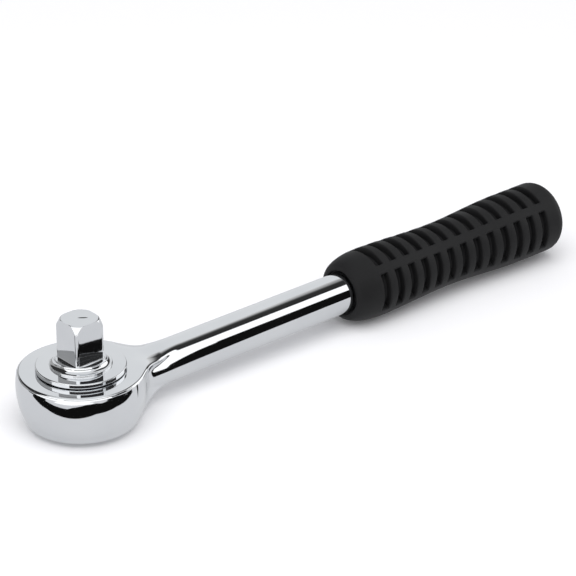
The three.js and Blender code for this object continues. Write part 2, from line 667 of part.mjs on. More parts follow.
// The reverser rests at one end of its swing, with each pawl rocked the other way into the teeth
const reverser = new THREE.Group();
reverser.rotation.z = -REVERSER_SWING;
reverser.add(namedMesh('reversing_dial', reversingDial(), steel()));
reverser.add(namedMesh('reversing_spindle', reversingSpindle(), steel()));
ratchet.add(reverser);

const plungerSpringLength = 2 * (PLUNGER_INNER_AT - FIT_GAP);
const plungerSpring = namedMesh('plunger_spring',
  spring('plunger_spring', PLUNGER_SPRING, plungerSpringLength), springSteel());
plungerSpring.rotation.x = -Math.PI / 2;
plungerSpring.position.set(0, -plungerSpringLength / 2, plungerZ);
reverser.add(plungerSpring);

for (const [side, turn] of [['left', 0], ['right', Math.PI]]) {
  const plungerPlace = new THREE.Group();
  plungerPlace.rotation.z = turn;
  plungerPlace.add(namedMesh(`plunger_${side}`, plunger(), steel()));
  reverser.add(plungerPlace);

  const pawlPlace = new THREE.Group();
  pawlPlace.rotation.z = turn;
  const rocker = namedMesh(`pawl_${side}`, pawl(), steel());
  rocker.position.set(0, PAWL_PIN_AT, pocketBottom + RUN_GAP);
  rocker.rotation.z = PAWL_SWING;
  const pin = namedMesh(`pawl_pin_${side}`, pawlPin(), steel());
  pin.position.y = PAWL_PIN_AT;
  pawlPlace.add(rocker, pin);
  ratchet.add(pawlPlace);
}

export default ratchet;
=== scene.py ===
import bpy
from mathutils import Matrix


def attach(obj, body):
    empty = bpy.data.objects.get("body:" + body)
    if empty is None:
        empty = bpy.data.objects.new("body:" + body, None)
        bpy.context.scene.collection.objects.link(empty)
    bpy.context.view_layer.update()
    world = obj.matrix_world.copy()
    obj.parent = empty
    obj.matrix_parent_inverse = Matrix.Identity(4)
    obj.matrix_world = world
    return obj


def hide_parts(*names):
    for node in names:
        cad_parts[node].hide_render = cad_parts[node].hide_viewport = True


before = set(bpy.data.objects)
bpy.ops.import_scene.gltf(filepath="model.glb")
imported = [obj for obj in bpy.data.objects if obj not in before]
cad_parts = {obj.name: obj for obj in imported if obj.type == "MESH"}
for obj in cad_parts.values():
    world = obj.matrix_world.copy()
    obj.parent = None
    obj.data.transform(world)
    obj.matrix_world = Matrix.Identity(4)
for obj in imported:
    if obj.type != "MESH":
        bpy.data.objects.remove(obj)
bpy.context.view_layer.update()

import math

import bmesh
import bpy
import numpy as np
from mathutils import Vector

mm = 0.001
scene = bpy.context.scene


def placeObject(name, data):
    placed = bpy.data.objects.new(name, data)
    scene.collection.objects.link(placed)
    return placed


# Camera at the photo's viewing angle
cameraSetup = {
    "place": (-541.2, -740.5, 507.4),   # mm
    "heading": 49.17,                   # degrees from +X towards +Y
    "dip": 26.37,                       # degrees below level
    "lens": 179.3,
    "sensor": 36.0,
    "near": 0.05, "far": 50.0,          # metres
}


def addCamera(setup):
    data = bpy.data.cameras.new("photoCamera")
    data.lens = setup["lens"]
    data.sensor_width = setup["sensor"]
    data.clip_start = setup["near"]
    data.clip_end = setup["far"]
    camera = placeObject("photoCamera", data)
    heading = math.radians(setup["heading"])
    dip = math.radians(setup["dip"])
    ahead = Vector((math.cos(heading) * math.cos(dip), math.sin(heading) * math.cos(dip), -math.sin(dip)))
    camera.location = Vector(setup["place"]) * mm
    camera.rotation_euler = ahead.to_track_quat("-Z", "Y").to_euler()
    scene.camera = camera
    print("camera placed")


addCamera(cameraSetup)


# Finishes
noiseSpan = (0.3, 0.7)      # most of a noise's values lie between these


def emptyNodes(owner):
    owner.use_nodes = True
    nodes = owner.node_tree.nodes
    nodes.clear()
    return nodes, owner.node_tree.links


def newFinish(name):
    finish = bpy.data.materials.new(name)
    nodes, links = emptyNodes(finish)
    output = nodes.new("ShaderNodeOutputMaterial")
    shader = nodes.new("ShaderNodeBsdfPrincipled")
    place = nodes.new("ShaderNodeTexCoord")
    links.new(shader.outputs["BSDF"], output.inputs["Surface"])
    return finish, shader, place.outputs["Object"]


def addNoise(finish, place, scale, detail):
    noise = finish.node_tree.nodes.new("ShaderNodeTexNoise")
    noise.inputs["Scale"].default_value = scale
    noise.inputs["Detail"].default_value = detail
    finish.node_tree.links.new(place, noise.inputs["Vector"])
    return noise.outputs["Fac"]


def addRange(finish, value, low, high):
    spread = finish.node_tree.nodes.new("ShaderNodeMapRange")
    for socket, level in zip(("From Min", "From Max", "To Min", "To Max"), (*noiseSpan, low, high)):
        spread.inputs[socket].default_value = level
    finish.node_tree.links.new(value, spread.inputs["Value"])
    return spread.outputs["Result"]


def addTint(finish, value, dark, light):
    ramp = finish.node_tree.nodes.new("ShaderNodeValToRGB")
    for stop, position, colour in zip(ramp.color_ramp.elements, noiseSpan, (dark, light)):
        stop.position = position
        stop.color = (*colour, 1)
    finish.node_tree.links.new(value, ramp.inputs["Fac"])
    return ramp.outputs["Color"]


def addBump(finish, height, depth, below=None):
    bump = finish.node_tree.nodes.new("ShaderNodeBump")
    bump.inputs["Distance"].default_value = depth
    finish.node_tree.links.new(height, bump.inputs["Height"])
    if below is not None:
        finish.node_tree.links.new(below, bump.inputs["Normal"])
    return bump.outputs["Normal"]


chromeLook = {
    "dark": (0.74, 0.755, 0.775), "light": (0.8, 0.812, 0.825),
    "roughLow": 0.03, "roughHigh": 0.07, "smudgeScale": 38,
    "waveScale": 110, "waveDepth": 1.6e-5,      # slow waves of the polishing wheel
    "grainScale": 2400, "grainDepth": 1.2e-7,
}
# Rings round the drive axis
latheMarks = {"spacing": 0.42 * mm, "depth": 2.2e-7, "waver": 1.5, "detail": 2}


def chromePlate(name, look, marks=None):
    finish, shader, place = newFinish(name)
    links = finish.node_tree.links
    smudge = addNoise(finish, place, look["smudgeScale"], 5)
    links.new(addTint(finish, smudge, look["dark"], look["light"]), shader.inputs["Base Color"])
    links.new(addRange(finish, smudge, look["roughLow"], look["roughHigh"]), shader.inputs["Roughness"])
    shader.inputs["Metallic"].default_value = 1
    normal = addBump(finish, addNoise(finish, place, look["waveScale"], 0.5), look["waveDepth"])
    normal = addBump(finish, addNoise(finish, place, look["grainScale"], 3), look["grainDepth"], normal)
    if marks:
        rings = finish.node_tree.nodes.new("ShaderNodeTexWave")
        rings.wave_type = "RINGS"
        rings.rings_direction = "Z"
        rings.inputs["Scale"].default_value = math.tau / 20 / marks["spacing"]  # the node multiplies by 20
        rings.inputs["Distortion"].default_value = marks["waver"]
        rings.inputs["Detail"].default_value = marks["detail"]
        links.new(place, rings.inputs["Vector"])
        normal = addBump(finish, rings.outputs["Fac"], marks["depth"], normal)
    links.new(normal, shader.inputs["Normal"])
    return finish


steelGrain = {"patchScale": 60, "grainScale": 1800, "grainDepth": 1.5e-6}

# Dark tint, light tint, lowest and highest roughness
steelLooks = {
    "satinDialSteel": ((0.5, 0.52, 0.54), (0.62, 0.64, 0.66), 0.2, 0.32),
    "groundToolSteel": ((0.38, 0.39, 0.41), (0.5, 0.51, 0.53), 0.18, 0.35),
    "temperedSpringSteel": ((0.22, 0.235, 0.26), (0.34, 0.35, 0.37), 0.22, 0.36),
    # The last look is painted shade: a near-black steel for the inside of the drive's nick, standing in for
    # the shadow that falls in it
    "nickPaintedShade": ((0.02, 0.02, 0.02), (0.05, 0.05, 0.05), 0.5, 0.7),
}


def bareSteel(name, dark, light, roughLow, roughHigh):
    finish, shader, place = newFinish(name)
    links = finish.node_tree.links
    patch = addNoise(finish, place, steelGrain["patchScale"], 6)
    links.new(addTint(finish, patch, dark, light), shader.inputs["Base Color"])
    links.new(addRange(finish, patch, roughLow, roughHigh), shader.inputs["Roughness"])
    shader.inputs["Metallic"].default_value = 1
    grain = addNoise(finish, place, steelGrain["grainScale"], 3)
    links.new(addBump(finish, grain, steelGrain["grainDepth"]), shader.inputs["Normal"])
    return finish


rubberLook = {
    "dark": (0.0055, 0.0055, 0.006), "light": (0.009, 0.009, 0.0095),
    "roughLow": 0.56, "roughHigh": 0.7, "patchScale": 70,
    "grainScale": 3200, "grainDepth": 1.4e-5,   # sparked mould texture
    "softScale": 420, "softDepth": 1.2e-5,
    "gloss": 0.32,
}


def mouldedRubber(name, look):
    finish, shader, place = newFinish(name)
    links = finish.node_tree.links
    patch = addNoise(finish, place, look["patchScale"], 6)
    links.new(addTint(finish, patch, look["dark"], look["light"]), shader.inputs["Base Color"])
    links.new(addRange(finish, patch, look["roughLow"], look["roughHigh"]), shader.inputs["Roughness"])
    shader.inputs["Specular IOR Level"].default_value = look["gloss"]
    normal = addBump(finish, addNoise(finish, place, look["softScale"], 2), look["softDepth"])
    normal = addBump(finish, addNoise(finish, place, look["grainScale"], 2), look["grainDepth"], normal)
    links.new(normal, shader.inputs["Normal"])
    return finish


forgedChrome = chromePlate("forgedChrome", chromeLook)
turnedChrome = chromePlate("turnedChrome", chromeLook, latheMarks)
dialSteel, groundSteel, springSteel, nickPaintedShade = [bareSteel(name, *look) for name, look in steelLooks.items()]
gripRubber = mouldedRubber("gripRubber", rubberLook)
print("finishes made")


# Skins of rings: every ring of one skin has the same number of points
def newSkin():
    return {"points": [], "faces": []}


def addRing(skin, ring):
    start = len(skin["points"])
    skin["points"].extend(tuple(float(c) for c in p) for p in ring)
    return list(range(start, start + len(ring)))


def bridge(skin, first, second, skip=()):
    count = len(first)
    for i in range(count):
        if i in skip:
            continue
        j = (i + 1) % count
        skin["faces"].append((first[i], first[j], second[j], second[i]))


def capRing(skin, ring, centre):
    hub = addRing(skin, [centre])[0]
    for i in range(len(ring)):
        skin["faces"].append((ring[i], ring[(i + 1) % len(ring)], hub))


def stackRings(skin, rings):
    made = [addRing(skin, ring) for ring in rings]
    for first, second in zip(made, made[1:]):
        bridge(skin, first, second)
    return made


def skinMesh(skin, name):
    mesh = bpy.data.meshes.new(name)
    mesh.from_pydata([[c * mm for c in p] for p in skin["points"]], [], skin["faces"])
    return mesh


def makePiece(skin, name, finish, body, nodes):
    return dressPiece(skinMesh(skin, name), name, finish, body, nodes)


def dressPiece(mesh, name, finish, body, nodes, creaseAngle=38):
    work = bmesh.new()
    work.from_mesh(mesh)
    bmesh.ops.recalc_face_normals(work, faces=work.faces)
    work.to_mesh(mesh)
    work.free()
    mesh.polygons.foreach_set("use_smooth", [True] * len(mesh.polygons))
    mesh.set_sharp_from_angle(angle=math.radians(creaseAngle))
    mesh.materials.clear()
    mesh.materials.append(finish)
    piece = placeObject(name, mesh)
    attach(piece, body)
    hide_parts(*nodes)
    print(name, len(mesh.polygons), "faces")
    return piece


# A path of (radius, level) corners, each rounded by its third value. A point hold mm from each round keeps
# the flat beside it flat in the shading.
def roundedPath(corners, steps, hold):
    path = []
    for i, (r, z, rounding) in enumerate(corners):
        corner = np.array([r, z])
        if rounding == 0 or i in (0, len(corners) - 1):
            path.append(corner)
            continue
        back = np.array(corners[i - 1][:2]) - corner
        ahead = np.array(corners[i + 1][:2]) - corner
        back /= np.linalg.norm(back)
        ahead /= np.linalg.norm(ahead)
        half = math.acos(np.clip(back @ ahead, -1, 1)) / 2
        reach = rounding / math.tan(half)
        middle = corner + (back + ahead) / np.linalg.norm(back + ahead) * rounding / math.sin(half)
        path.append(corner + back * (reach + hold))
        start = corner + back * reach - middle
        end = corner + ahead * reach - middle
        sweep = math.pi - 2 * half
        for k in range(steps + 1):
            t = k / steps
            blend = math.sin((1 - t) * sweep) * start + math.sin(t * sweep) * end
            path.append(middle + blend / math.sin(sweep))
        path.append(corner + ahead * (reach + hold))
    return path


def turnedRings(path, angles):
    return [[(r * math.cos(a), r * math.sin(a), z) for a in angles] for r, z in path]


# Forged head, neck and shank
bodyForm = {
    "radius": 23.86, "widestLevel": 16.0, "bulge": 30.0,
    "back": 1.8, "top": 21.8, "backRound": 1.6, "rimRound": 1.2,
    "neckStart": 13.5, "neckLength": 30.3, "sideLength": 13.0, "sideFrom": 0.3, "sideTo": 0.95,
    "dropStart": 17.0, "dropLength": 16.0,
    "shankRadius": 8.05, "shankLevel": 11.5, "shankEnd": 226.0, "endChamfer": 1.0,
    "recessRadius": 13.6, "recessTop": 6.4, "floorTop": 8.6, "boreRadius": 8.3, "recessEdge": 0.3,
    "teeth": 24, "toothTip": 14.1, "toothRoot": 15.5, "tipLand": 2.4, "rootLand": 3.2, "toothEdge": 0.25,
    "toothParts": (3, 2, 3, 2),                 # points along a flank, a root, a flank and a tip
    "wallRows": 26, "edgeRows": 8, "neckRows": 44, "shankRows": 15, "hold": 0.06,
    "smoothWidth": 7, "smoothPasses": 3,        # evens out the points round the shank
}


def headWallPath(form):
    def wallRadius(z):
        drop = form["bulge"] - math.sqrt(form["bulge"] ** 2 - (z - form["widestLevel"]) ** 2)
        return form["radius"] - drop

    def edgeArc(level, rounding, start, end):
        centre = wallRadius(level) - rounding
        turns = np.linspace(start, end, form["edgeRows"] + 1)
        return [(centre + rounding * math.cos(t), level + rounding * math.sin(t)) for t in turns]

    low = form["back"] + form["backRound"]
    high = form["top"] - form["rimRound"]
    wall = [(wallRadius(z), z) for z in np.linspace(low, high, form["wallRows"] + 1)[1:-1]]
    backArc = edgeArc(low, form["backRound"], -math.pi / 2, 0)
    rimArc = edgeArc(high, form["rimRound"], 0, math.pi / 2)
    return backArc + wall + rimArc


# Angles of the tooth corners and of points between them, in degrees
def toothAngles(form):
    pitch = 360 / form["teeth"]
    angles = []
    for tooth in range(form["teeth"]):
        gap = (tooth + 0.5) * pitch
        gapHalf = (pitch - form["tipLand"]) / 2
        root = form["rootLand"] / 2
        stops = [gap - gapHalf, gap - root, gap + root, gap + gapHalf, gap + gapHalf + form["tipLand"]]
        for (start, end), parts in zip(zip(stops, stops[1:]), form["toothParts"]):
            angles.extend(start + (end - start) * k / parts for k in range(parts))
    return angles


def toothRadius(form, angle):
    pitch = 360 / form["teeth"]
    fromGap = abs((angle / pitch) % 1 - 0.5) * pitch
    root = form["rootLand"] / 2
    gapHalf = (pitch - form["tipLand"]) / 2
    if fromGap <= root:
        return form["toothRoot"]
    if fromGap >= gapHalf:
        return form["toothTip"]
    share = (fromGap - root) / (gapHalf - root)
    return form["toothRoot"] + share * (form["toothTip"] - form["toothRoot"])


def smoothLoop(values, width, passes):
    lap = math.tau
    for _ in range(passes):
        padded = np.concatenate([values[-width:] - lap, values, values[:width] + lap])
        values = np.convolve(padded, np.ones(2 * width + 1) / (2 * width + 1), mode="valid")
    return values


def makeBody(form):
    skin = newSkin()
    wall = headWallPath(form)
    start = form["neckStart"]
    seamAt = form["dropStart"]
    seam = math.degrees(math.acos(seamAt / wall[-1][0]))
    angles = sorted(a % 360 for a in toothAngles(form))
    around = [seam] + [a for a in angles if seam < a < 360 - seam] + [360 - seam]
    across = [a for a in angles if a < seam][::-1] + [a - 360 for a in angles if a > 360 - seam][::-1]

    # The head's section where the neck begins: one side upwards, the top, the other side down and the back
    halves = np.array([math.sqrt(r * r - start * start) for r, _ in wall])
    levels = np.array([z for _, z in wall])
    spread = np.array([math.tan(math.radians(a)) / math.tan(math.radians(seam)) for a in across])
    sideCount, flatCount = len(wall), len(across)

    def sectionLoop(side):
        return np.concatenate([side, np.full(flatCount, side[-1]), side[::-1], np.full(flatCount, side[0])])

    half = sectionLoop(halves)
    beginY = np.concatenate([halves, halves[-1] * spread, -halves[::-1], halves[0] * spread[::-1]])
    up = sectionLoop(levels) - form["shankLevel"]
    thick = (form["top"] - form["back"]) / 2
    turns = np.unwrap(np.arctan2(up / thick, beginY / halves.max()))
    turns = smoothLoop(turns, form["smoothWidth"], form["smoothPasses"])
    drift = -start * beginY / half ** 2

    # The neck's sides scoop in to the shank early, and its top and bottom webs run out further
    web = np.clip((np.abs(np.sin(turns)) - form["sideFrom"]) / (form["sideTo"] - form["sideFrom"]), 0, 1)
    lengths = form["sideLength"] + (form["neckLength"] - form["sideLength"]) * web * web * (3 - 2 * web)

    # Neck: each point leaves along the head's surface and arrives along the handle
    def neckRing(x):
        s = np.minimum((x - start) / lengths, 1)
        u = min(max((x - seamAt) / form["dropLength"], 0), 1)
        leave = 2 * s ** 3 - 3 * s ** 2 + 1
        slide = (s ** 3 - 2 * s ** 2 + s) * lengths
        drop = 2 * u ** 3 - 3 * u ** 2 + 1
        y = leave * beginY + slide * drift + (1 - leave) * form["shankRadius"] * np.cos(turns)
        z = form["shankLevel"] + drop * up + (1 - drop) * form["shankRadius"] * np.sin(turns)
        return np.column_stack([np.full(len(y), x), y, z])

    # Wall of the head, from one side of the neck round to the other
    def wallPoint(row, r, z, turn):
        x = r * math.cos(turn)
        if x <= start:
            return (x, r * math.sin(turn), z)
        return neckRing(x)[row if turn < math.pi else 2 * sideCount + flatCount - 1 - row]

    rows = []
    for row, (r, z) in enumerate(wall):
        opening = math.acos(seamAt / r)
        share = (math.pi - opening) / (math.pi - math.radians(seam))
        rows.append(addRing(skin, [wallPoint(row, r, z, math.pi + (math.radians(a) - math.pi) * share)
                                   for a in around]))
    for lower, upper in zip(rows, rows[1:]):
        for i in range(len(lower) - 1):
            skin["faces"].append((lower[i], lower[i + 1], upper[i + 1], upper[i]))

    # Straight edges of the two flats, where the neck leaves them
    edgePoints = neckRing(seamAt)
    topLine = addRing(skin, edgePoints[sideCount:sideCount + flatCount])
    backLine = addRing(skin, edgePoints[2 * sideCount + flatCount:])
    section = [row[0] for row in rows] + topLine + [row[-1] for row in rows[::-1]] + backLine
    neckEnd = start + form["neckLength"]
    stations = list(np.linspace(seamAt, neckEnd, form["neckRows"] + 1)[1:])
    stations += list(np.linspace(neckEnd, form["shankEnd"] - form["endChamfer"], form["shankRows"] + 1)[1:])
    last = section
    for x in stations:
        ring = addRing(skin, neckRing(x))
        bridge(skin, last, ring)
        last = ring
    tip = neckRing(form["shankEnd"])
    axis = np.array([form["shankEnd"], 0, form["shankLevel"]])
    tipRing = addRing(skin, axis + (tip - axis) * (1 - form["endChamfer"] / form["shankRadius"]))
    bridge(skin, last, tipRing)
    capRing(skin, tipRing, axis)

    # Top face, inner teeth, floor, journal bore and the recess in the back
    topLoop = rows[-1] + topLine[::-1]
    backLoop = rows[0] + backLine
    topAngles = [math.atan2(skin["points"][i][1], skin["points"][i][0]) for i in topLoop]
    backAngles = [math.atan2(skin["points"][i][1], skin["points"][i][0]) for i in backLoop]
    teeth = [toothRadius(form, math.degrees(a) % 360) for a in topAngles]

    def polarRing(radii, z, turned):
        return [(r * math.cos(a), r * math.sin(a), z) for r, a in zip(radii, turned)]

    def even(radius):
        return [radius] * len(topLoop)

    def inward(loop, z):
        ring = []
        for x, y, _ in [skin["points"][i] for i in loop]:
            share = 1 - form["hold"] / math.hypot(x, y)
            ring.append((x * share, y * share, z))
        return ring

    inner = stackRings(skin, [
        inward(topLoop, form["top"]),
        polarRing([r + form["toothEdge"] for r in teeth], form["top"], topAngles),
        polarRing(teeth, form["top"] - form["toothEdge"], topAngles),
        polarRing(teeth, form["floorTop"], topAngles),
        polarRing(even(form["boreRadius"]), form["floorTop"], topAngles),
        polarRing(even(form["boreRadius"]), form["recessTop"], backAngles),
        polarRing(even(form["recessRadius"]), form["recessTop"], backAngles),
        polarRing(even(form["recessRadius"]), form["back"] + form["recessEdge"], backAngles),
        polarRing(even(form["recessRadius"] + form["recessEdge"]), form["back"], backAngles),
        inward(backLoop, form["back"]),
    ])
    bridge(skin, topLoop, inner[0])
    bridge(skin, inner[-1], backLoop)
    return makePiece(skin, "forgedBody", forgedChrome, "housing", ["ratchet_body"])


makeBody(bodyForm)


# Square drive, boss and flange, as one turned and milled piece on top of the rotor
driveForm = {
    "half": 6.35, "cornerRound": 1.2, "tip": 42.3, "tipRadius": 6.55, "tipRound": 0.8, "tipHold": 0.1,
    "cone": 27.5, "coneLength": 3.8, "coneStep": 0.09, "lowLevel": 29.5,
    "bossTop": 26.7, "bossTopRadius": 9.2, "bossRadius": 11.4, "bossFoot": 24.7,
    "crestRound": 0.12, "coveRound": 0.22, "stepRound": 0.12, "hubRadius": 1.0,
    "flangeTop": 24.0, "flangeBottom": 22.1, "flangeRadius": 16.6, "flangeRound": 0.4, "rotorGap": 0.01,
    "blend": 0.045, "baseFillet": 0.3, "filletHold": 0.05,
    "points": 256, "cornerCrowding": 0.6, "roundRows": 10, "filletRows": 6, "coveRows": 15,
    "ballLevel": 34.6, "ballCentre": 5.15, "ballRadius": 2.0,
    "holeLip": 1.93, "holeBore": 2.15, "holeLipDepth": 0.35, "holeDepth": 8.8,
    "holeFlare": 0.14, "holeFlareDepth": 0.1, "holeBlock": 11, "holeReach": 2.8,
    "nick": (1.0, -0.75), "nickLength": 1.8, "nickWidth": 0.4, "nickDepth": 0.4, "nickTurn": -38.0,
    "nickFloor": 0.4, "nickRim": 1.25,          # shares of the nick's outline
    "paintedShadeFrom": 0.005, "paintedShadeTo": 0.5,           # how far below the tip the nick's inside gets painted shade, a near-black steel standing in for the shadow in the groove
}


def squareRadius(form, angle):
    a = abs((angle + math.pi / 4) % (math.pi / 2) - math.pi / 4)
    inner = form["half"] - form["cornerRound"]
    if math.tan(a) * form["half"] <= inner:
        return form["half"] / math.cos(a)
    across = inner * (math.cos(a) + math.sin(a))
    return across + math.sqrt(across ** 2 - 2 * inner ** 2 + form["cornerRound"] ** 2)


def makeDrive(form):
    skin = newSkin()
    steps = np.linspace(0, math.tau, form["points"], endpoint=False)
    angles = steps + form["cornerCrowding"] * np.sin(4 * steps) / 4
    square = np.array([squareRadius(form, a) for a in angles])
    cone = math.radians(form["cone"])
    rounding = form["tipRound"]
    coneTop = form["tip"] - rounding * (1 - math.sin(cone))
    coneTopRadius = form["tipRadius"] + rounding * math.cos(cone)

    def softMin(a, b):
        k = form["blend"]
        low = np.minimum(a, b)
        return low - k * np.log(np.exp(-(a - low) / k) + np.exp(-(b - low) / k))

    def flatRing(radii, z):
        return np.column_stack([radii * np.cos(angles), radii * np.sin(angles), np.full(len(angles), z)])

    def driveRing(z):
        if z > coneTop:
            turned = form["tipRadius"] + math.sqrt(rounding ** 2 - (z - form["tip"] + rounding) ** 2)
        else:
            turned = coneTopRadius + (coneTop - z) * math.tan(cone)
        return softMin(square, np.full(len(angles), turned))

    # A small nick beside the middle of the tip
    turn = math.radians(form["nickTurn"])
    lengthwise = np.array([math.cos(turn), math.sin(turn)])
    sideways = np.array([-math.sin(turn), math.cos(turn)])

    def nickRing(share, z):
        around = angles - turn
        flat = (np.array(form["nick"])
                + np.outer(np.cos(around) * form["nickLength"] * share, lengthwise)
                + np.outer(np.sin(around) * form["nickWidth"] * share, sideways))
        return np.column_stack([flat, np.full(len(angles), z)])

    tipEdge = driveRing(form["tip"])
    tipRings = [nickRing(form["nickFloor"], form["tip"] - form["nickDepth"]), nickRing(1, form["tip"]),
                nickRing(form["nickRim"], form["tip"]), flatRing(tipEdge - form["tipHold"], form["tip"])]
    roundTurns = np.linspace(math.pi / 2, cone, form["roundRows"])
    roundLevels = [form["tip"] - rounding * (1 - math.sin(t)) for t in roundTurns]
    tipRings += [flatRing(driveRing(z), z) for z in roundLevels]
    coneFoot = form["tip"] - form["coneLength"]
    coneLevels = list(np.arange(coneTop - form["coneStep"], coneFoot, -form["coneStep"]))
    hole = [form["ballLevel"] + form["holeReach"] * s for s in (1, 0.5, 0, -0.5, -1)]
    fillet = form["baseFillet"]
    sideLevels = coneLevels + hole + [form["lowLevel"], form["bossTop"] + fillet + form["filletHold"]]
    sideRings = [flatRing(driveRing(z), z) for z in sideLevels]
    filletTurns = np.linspace(0, math.pi / 2, form["filletRows"])
    footRings = [flatRing(square + fillet * (1 - math.cos(t)), form["bossTop"] + fillet * (1 - math.sin(t)))
                 for t in filletTurns]

    # Boss with a hollow cove, then the flange
    coveWidth = form["bossRadius"] - form["bossTopRadius"]
    coveHeight = form["bossTop"] - form["bossFoot"]
    cove = [(form["bossRadius"] + coveWidth * math.cos(t), form["bossTop"] + coveHeight * math.sin(t))
            for t in np.linspace(-math.pi, -math.pi / 2, form["coveRows"])]
    crest = (*cove[0], form["crestRound"])
    flange = form["flangeRound"]
    outline = roundedPath([(0, crest[1], 0), crest, (*cove[1], 0)], steps=4, hold=0.02)[1:-1]
    outline += [np.array(p) for p in cove[1:-1]]
    outline += roundedPath([
        (*cove[-2], 0), (*cove[-1], form["coveRound"]),
        (form["bossRadius"], form["flangeTop"], form["stepRound"]),
        (form["flangeRadius"], form["flangeTop"], flange),
        (form["flangeRadius"], form["flangeBottom"], flange),
        (form["hubRadius"], form["flangeBottom"], 0)], steps=7, hold=0.04)[1:]
    rings = tipRings + sideRings + footRings + turnedRings(outline, angles)

    # The detent ball's hole replaces a block of faces on the +X flat
    block = form["holeBlock"]
    firstRow = len(tipRings) + len(coneLevels)
    lastRow = firstRow + len(hole) - 1
    columns = list(range(-block, block))
    made = [addRing(skin, ring) for ring in rings]
    for row, (first, second) in enumerate(zip(made, made[1:])):
        inBlock = firstRow <= row < lastRow
        bridge(skin, first, second, [c % form["points"] for c in columns] if inBlock else ())
    capRing(skin, made[0], (*form["nick"], form["tip"] - form["nickDepth"]))
    capRing(skin, made[-1], (0, 0, form["flangeBottom"]))
    sides = list(range(-block, block + 1))
    rim = [made[firstRow][c] for c in sides]
    rim += [made[row][block] for row in range(firstRow + 1, lastRow)]
    rim += [made[lastRow][c] for c in sides[::-1]]
    rim += [made[row][-block] for row in range(lastRow - 1, firstRow, -1)]
    turns = [math.atan2(skin["points"][i][2] - form["ballLevel"], skin["points"][i][1]) for i in rim]

    def holeRing(radius, x):
        return [(x, radius * math.cos(t), form["ballLevel"] + radius * math.sin(t)) for t in turns]

    lipEnd = form["half"] - form["holeLipDepth"]
    holeEnd = form["half"] - form["holeDepth"]
    drilled = stackRings(skin, [
        holeRing(form["holeLip"] + form["holeFlare"], form["half"]),
        holeRing(form["holeLip"], form["half"] - form["holeFlareDepth"]),
        holeRing(form["holeLip"], lipEnd), holeRing(form["holeBore"], lipEnd),
        holeRing(form["holeBore"], holeEnd)])
    bridge(skin, rim, drilled[0])
    capRing(skin, drilled[-1], (holeEnd, 0, form["ballLevel"]))
    piece = makePiece(skin, "squareDrive", turnedChrome, "anvil", ["drive_anvil"])
    # Painted shade: the faces inside the nick get the near-black steel, standing in for the shadow in the
    # groove
    piece.data.materials.append(nickPaintedShade)
    for face in piece.data.polygons:
        x, y, z = face.center / mm
        beside = math.hypot(x - form["nick"][0], y - form["nick"][1])
        if beside < form["nickLength"] and form["paintedShadeFrom"] < form["tip"] - z < form["paintedShadeTo"]:
            face.material_index = 1
    return piece


makeDrive(driveForm)


# Rotor under the flange, with its pawl pockets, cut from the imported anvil
def makeRotor(form):
    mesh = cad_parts["drive_anvil"].data.copy()
    mesh.name = "pawlRotor"
    work = bmesh.new()
    work.from_mesh(mesh)
    bmesh.ops.remove_doubles(work, verts=work.verts, dist=1e-6)
    level = (form["flangeBottom"] - form["rotorGap"]) * mm
    bmesh.ops.bisect_plane(work, geom=work.verts[:] + work.edges[:] + work.faces[:],
                           plane_co=(0, 0, level), plane_no=(0, 0, 1), clear_outer=True)
    openEdges = [e for e in work.edges if e.is_boundary]
    bmesh.ops.edgeloop_fill(work, edges=openEdges)
    work.to_mesh(mesh)
    work.free()
    return dressPiece(mesh, "pawlRotor", groundSteel, "anvil", ["drive_anvil"])


makeRotor(driveForm)


# Detent ball
def makeBall(form):
    mesh = bpy.data.meshes.new("detentBall")
    work = bmesh.new()
    bmesh.ops.create_icosphere(work, subdivisions=5, radius=form["ballRadius"] * mm)
    bmesh.ops.translate(work, verts=work.verts, vec=(form["ballCentre"] * mm, 0, form["ballLevel"] * mm))
    work.to_mesh(mesh)
    work.free()
    return dressPiece(mesh, "detentBall", groundSteel, "detent_ball", ["drive_detent_ball"])


makeBall(driveForm)


# Reversing dial in the back of the head
dialForm = {
    "radius": 13.2, "thick": 3.0, "turn": -15.0, "edge": 0.3,
    "notches": 24, "notchRadius": 0.55, "notchHeight": 1.8, "notchLip": 0.01, "pointsPerNotch": 16,
    "rimWidth": 2.2, "barWidth": 7.2, "pocketDepth": 1.5, "pocketPoints": 48,
    "socketHalf": 2.55, "socketFloor": 1.2, "overcut": 1,
    "softEdge": 0.22, "softSegments": 3, "softAngle": 50,
}


def makePrism(name, outline, low, high):
    mesh = bpy.data.meshes.new(name)
    work = bmesh.new()
    bottom = [work.verts.new((x * mm, y * mm, low * mm)) for x, y in outline]
    top = [work.verts.new((x * mm, y * mm, high * mm)) for x, y in outline]
    work.faces.new(bottom[::-1])
    work.faces.new(top)
    for i in range(len(outline)):
        j = (i + 1) % len(outline)
        work.faces.new((bottom[i], bottom[j], top[j], top[i]))
    bmesh.ops.recalc_face_normals(work, faces=work.faces)
    work.to_mesh(mesh)
    work.free()
    return placeObject(name, mesh)


